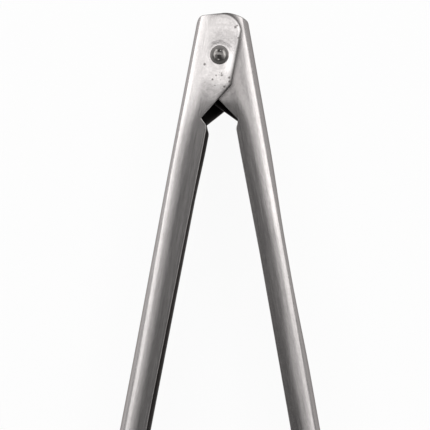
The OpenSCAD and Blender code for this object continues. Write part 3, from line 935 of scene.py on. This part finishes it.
def sweep(name, path, radius, material, sides=14):
    """A round wire: each path point carries a circle in the plane across its direction, and the
    ends close in three smaller circles and a fan."""
    along = np.gradient(path, axis=0)
    along /= np.linalg.norm(along, axis=1, keepdims=True)
    side = np.cross(along, [0, 0, 1])
    side /= np.linalg.norm(side, axis=1, keepdims=True)
    up = np.cross(side, along)
    cap = np.radians([90, 60, 30])
    first = path[0] - along[0] * end_l * np.cos(cap[::-1])[:, None]
    last = path[-1] + along[-1] * end_l * np.cos(cap)[:, None]
    shrink = end_r + (1 - end_r) * np.sin(cap)
    sizes = np.r_[shrink[::-1], np.ones(len(path)), shrink]
    centre = np.vstack([first, path, last])
    side = np.vstack([side[[0] * 3], side, side[[-1] * 3]])
    up = np.vstack([up[[0] * 3], up, up[[-1] * 3]])
    a = np.linspace(0, 2 * math.pi, sides, endpoint=False)[:, None]
    ring = side[:, None] * np.cos(a) + up[:, None] * np.sin(a)
    points = (centre[:, None] + radius * sizes[:, None, None] * ring).reshape(-1, 3)
    n = len(centre)
    k = np.arange(n * sides).reshape(n, sides)
    turned = np.roll(k, -1, 1)
    faces = np.stack([k[:-1], turned[:-1], turned[1:], k[1:]], axis=2).reshape(-1, 4)
    points = np.vstack([points, centre[:1], centre[-1:]])
    fans = np.vstack([np.c_[np.full(sides, n * sides), np.roll(k[0], -1), k[0]],
                      np.c_[np.full(sides, n * sides + 1), k[-1], np.roll(k[-1], -1)]])
    return make_piece(name, points + pivot, faces, material, fans=fans)


path, rise = spring_path()
spring = sweep("spring", path, wire_r, spring_steel)
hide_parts("torsion_spring")
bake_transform(spring)
print("spring coil is", round(rise + 2 * wire_r, 1), "mm long")

# %% [markdown]
# ## Floor and sky
# Brushed metal shows its surroundings more than its own colour. The tongs lie on a plain floor
# that is white wherever it is seen: by the camera, in a mirror or through glass. A small share of
# it stays an ordinary diffuse surface, so that it keeps the shadow. A white diffuse floor alone
# would need strong lamps to look white, and those would burn out the steel. The sky has a low
# band of the same white, and above it a soft grey that is darkest straight overhead, where the
# flat flanges mirror it.

# %% Floor and sky
FLOOR_SIZE, FLOOR_WHITE = 20.0, 0.94     # metres to an edge, and the share that is plain white


def shown_rays(t):
    """1 for the rays that show a surface to the camera, in a mirror or through glass, else 0."""
    shown = 0.0
    for kind in ("Is Camera Ray", "Is Glossy Ray", "Is Transmission Ray"):
        ray = add(t, "LightPath", out=kind)
        shown = add(t, "Math", {0: shown, 1: ray}, operation="MAXIMUM")
    return shown


def white_floor():
    """A material that mixes white light with a plain pale surface, by the kind of ray."""
    material, t = new_material("matt_white_floor")
    share = add(t, "Math", {0: shown_rays(t), 1: FLOOR_WHITE}, operation="MULTIPLY")
    place = add(t, "TexCoord", out="Object")
    grain = add(t, "TexNoise", {"Vector": place, "Scale": 40.0})
    tone = add(t, "Mix", {0: grain, 6: linear("#f4f4f4"),
                          7: linear("#f8f8f8")}, out=2, data_type="RGBA")
    plain = add(t, "BsdfDiffuse", {"Color": tone})
    white = add(t, "Emission", {"Color": (1, 1, 1, 1), "Strength": 1.0})
    both = add(t, "MixShader", {0: share, 1: plain, 2: white})
    add(t, "OutputMaterial", {0: both})
    return material


def stage_floor():
    """A wide square at the object's lowest point."""
    corners = [(x * FLOOR_SIZE, y * FLOOR_SIZE, cad_low.z)
               for x, y in ((-1, -1), (1, -1), (1, 1), (-1, 1))]
    mesh = bpy.data.meshes.new("floor")
    mesh.from_pydata(corners, [], [(0, 1, 2, 3)])
    mesh.materials.append(white_floor())
    floor = bpy.data.objects.new("floor", mesh)
    bpy.context.scene.collection.objects.link(floor)


def studio_sky():
    """A world whose strength depends on the direction alone: brighter beyond the hinge than
    behind the jaws, fading to a dark grey overhead, with the white band at the horizon."""
    world = bpy.data.worlds.new("studio")
    bpy.context.scene.world = world
    world.use_nodes = True
    t = world.node_tree
    t.nodes.clear()
    place = add(t, "TexCoord", out="Generated")
    along = add(t, "SeparateXYZ", {0: place}, out="Y")
    upward = add(t, "SeparateXYZ", {0: place}, out="Z")
    low = add(t, "MapRange", {0: along, 1: -0.3, 2: 0.2, 3: 0.4, 4: 0.75},
              interpolation_type="SMOOTHSTEP")
    grey = add(t, "MapRange", {0: upward, 1: 0.35, 2: 0.8, 3: low,
                               4: 0.16}, interpolation_type="SMOOTHSTEP")
    horizon = add(t, "MapRange", {0: upward, 1: 0.15, 2: 0.25, 3: 1.0, 4: 0.0})
    white = add(t, "Math", {0: shown_rays(t), 1: horizon}, operation="MULTIPLY")
    strength = add(t, "Mix", {0: white, 2: grey, 3: 1.0})
    sky = add(t, "Background", {"Color": (1, 1, 1, 1), "Strength": strength})
    add(t, "OutputWorld", {0: sky})


stage_floor()
studio_sky()
print("floor at", round(cad_low.z / MM, 3), "mm")

# %% [markdown]
# ## The lamps
# Polished steel shows a bare lamp as one hard spot, so every lamp here is a soft panel, laid out
# on an arch over the tongs. A long strip on each side draws the bright band along an arm, and a
# fainter one inside it lights the crown beside the band. Panels beyond the hinge are what the
# flat ears mirror, two small ones overhead lift the top of each crown, and the last three are for
# the rivet's dome. A grid, like the honeycomb on a studio lamp, keeps a panel's light off the
# faces that should stay dark.

# %% Lamps
LAMP_OFF = 0.97     # metres from the Y axis to each lamp's middle


def soft_panel(name, turn, reach, size, radiance, grid=180, aim=0.09):
    """A rectangular lamp about a metre from the tongs, turned by some degrees about the Y axis
    from straight overhead. Its reach is the place of its middle along Y, its size is across and
    along Y, and it faces the aim point on the Y axis. Its power is worked out from the brightness
    that its face shows in a mirror, where 1 is white. A grid narrows the light: it fades away
    from the lamp's axis and is gone at half of the grid's angle."""
    lamp = bpy.data.lights.new(name, "AREA")
    lamp.shape, lamp.size, lamp.size_y = "RECTANGLE", size[0], size[1]
    half = math.radians(grid) / 2
    lamp.spread = 2 * half
    passed = 1 - half / math.tan(half) if grid < 180 else 1
    lamp.energy = 4 * radiance * size[0] * size[1] * passed
    holder = bpy.data.objects.new(name, lamp)
    bpy.context.scene.collection.objects.link(holder)
    t = math.radians(turn)
    at = Matrix.Translation((LAMP_OFF * math.sin(t), reach, LAMP_OFF * math.cos(t)))
    tip = math.atan2(aim - reach, LAMP_OFF)
    holder.matrix_world = at @ Matrix.Rotation(t, 4, "Y") @ Matrix.Rotation(tip, 4, "X")
    wide = math.degrees(2 * math.atan(size[0] / 2 / LAMP_OFF))
    print(f"{name} lamp: {wide:.0f} degrees across")


soft_panel("left", -46, 0.25, (0.22, 1.70), 2.1, 77)
soft_panel("left_inner", -29, 0.10, (0.31, 1.50), 0.4, 110, aim=-0.05)
soft_panel("left_ear", -34, 0.70, (0.41, 0.90), 0.75)
soft_panel("right", 45, 0.25, (0.30, 1.70), 1.95, 84)
soft_panel("right_inner", 27, 0.25, (0.29, 1.70), 0.62, 90)
soft_panel("right_ear", 38, 0.58, (0.18, 0.90), 1.1)
soft_panel("beyond", -3, 0.43, (0.68, 0.41), 0.66)
soft_panel("hinge", -3, 0.285, (0.68, 0.13), 0.49)
soft_panel("above", 3, 0.04, (0.10, 0.26), 0.12)
soft_panel("right_crown", 17, 0.06, (0.10, 0.40), 0.35)
soft_panel("dome_left", -43, 1.10, (0.20, 0.18), 2.4, 40, aim=0.13)
soft_panel("dome_high", 12, 1.02, (0.20, 0.14), 2.6, 40, aim=0.13)
soft_panel("dome_low", -12, -0.58, (0.36, 0.12), 1.8, 30, aim=0.13)

# %% [markdown]
# ## The camera
# It looks down on the tongs from about 45 cm, from a little to the right of the hinge, with the
# hinge near the top of the picture. It could look straight down with a shifted lens, but a shift
# stays when the camera moves. It is aimed by turning it instead, so every other view is centred.

# %% Camera
CAMERA_AT = Vector((24.97, 69.4, 449.1)) * MM
CAMERA_TURN = (3.699, -0.61, 0.47)      # yaw, pitch and roll in degrees
FOCAL, SENSOR = 84.28, 36.0


def aimed_camera(at, turns, focal):
    """A camera turned from looking straight down: yaw about Y, then pitch about X, then roll."""
    yaw, pitch, roll = [math.radians(angle) for angle in turns]
    data = bpy.data.cameras.new("camera")
    data.sensor_width, data.lens = SENSOR, focal
    data.clip_start, data.clip_end = 0.01, 100
    camera = bpy.data.objects.new("camera", data)
    bpy.context.scene.collection.objects.link(camera)
    turn = Matrix.Rotation(yaw, 4, "Y") @ Matrix.Rotation(pitch, 4, "X")
    camera.matrix_world = Matrix.Translation(at) @ turn @ Matrix.Rotation(roll, 4, "Z")
    bpy.context.scene.camera = camera


aimed_camera(CAMERA_AT, CAMERA_TURN, FOCAL)
bpy.context.scene.view_settings.view_transform = "Standard"
view = 2 * math.atan(SENSOR / 2 / FOCAL)
print("camera", round(CAMERA_AT.length, 3), "m away sees", round(math.degrees(view), 1), "degrees")
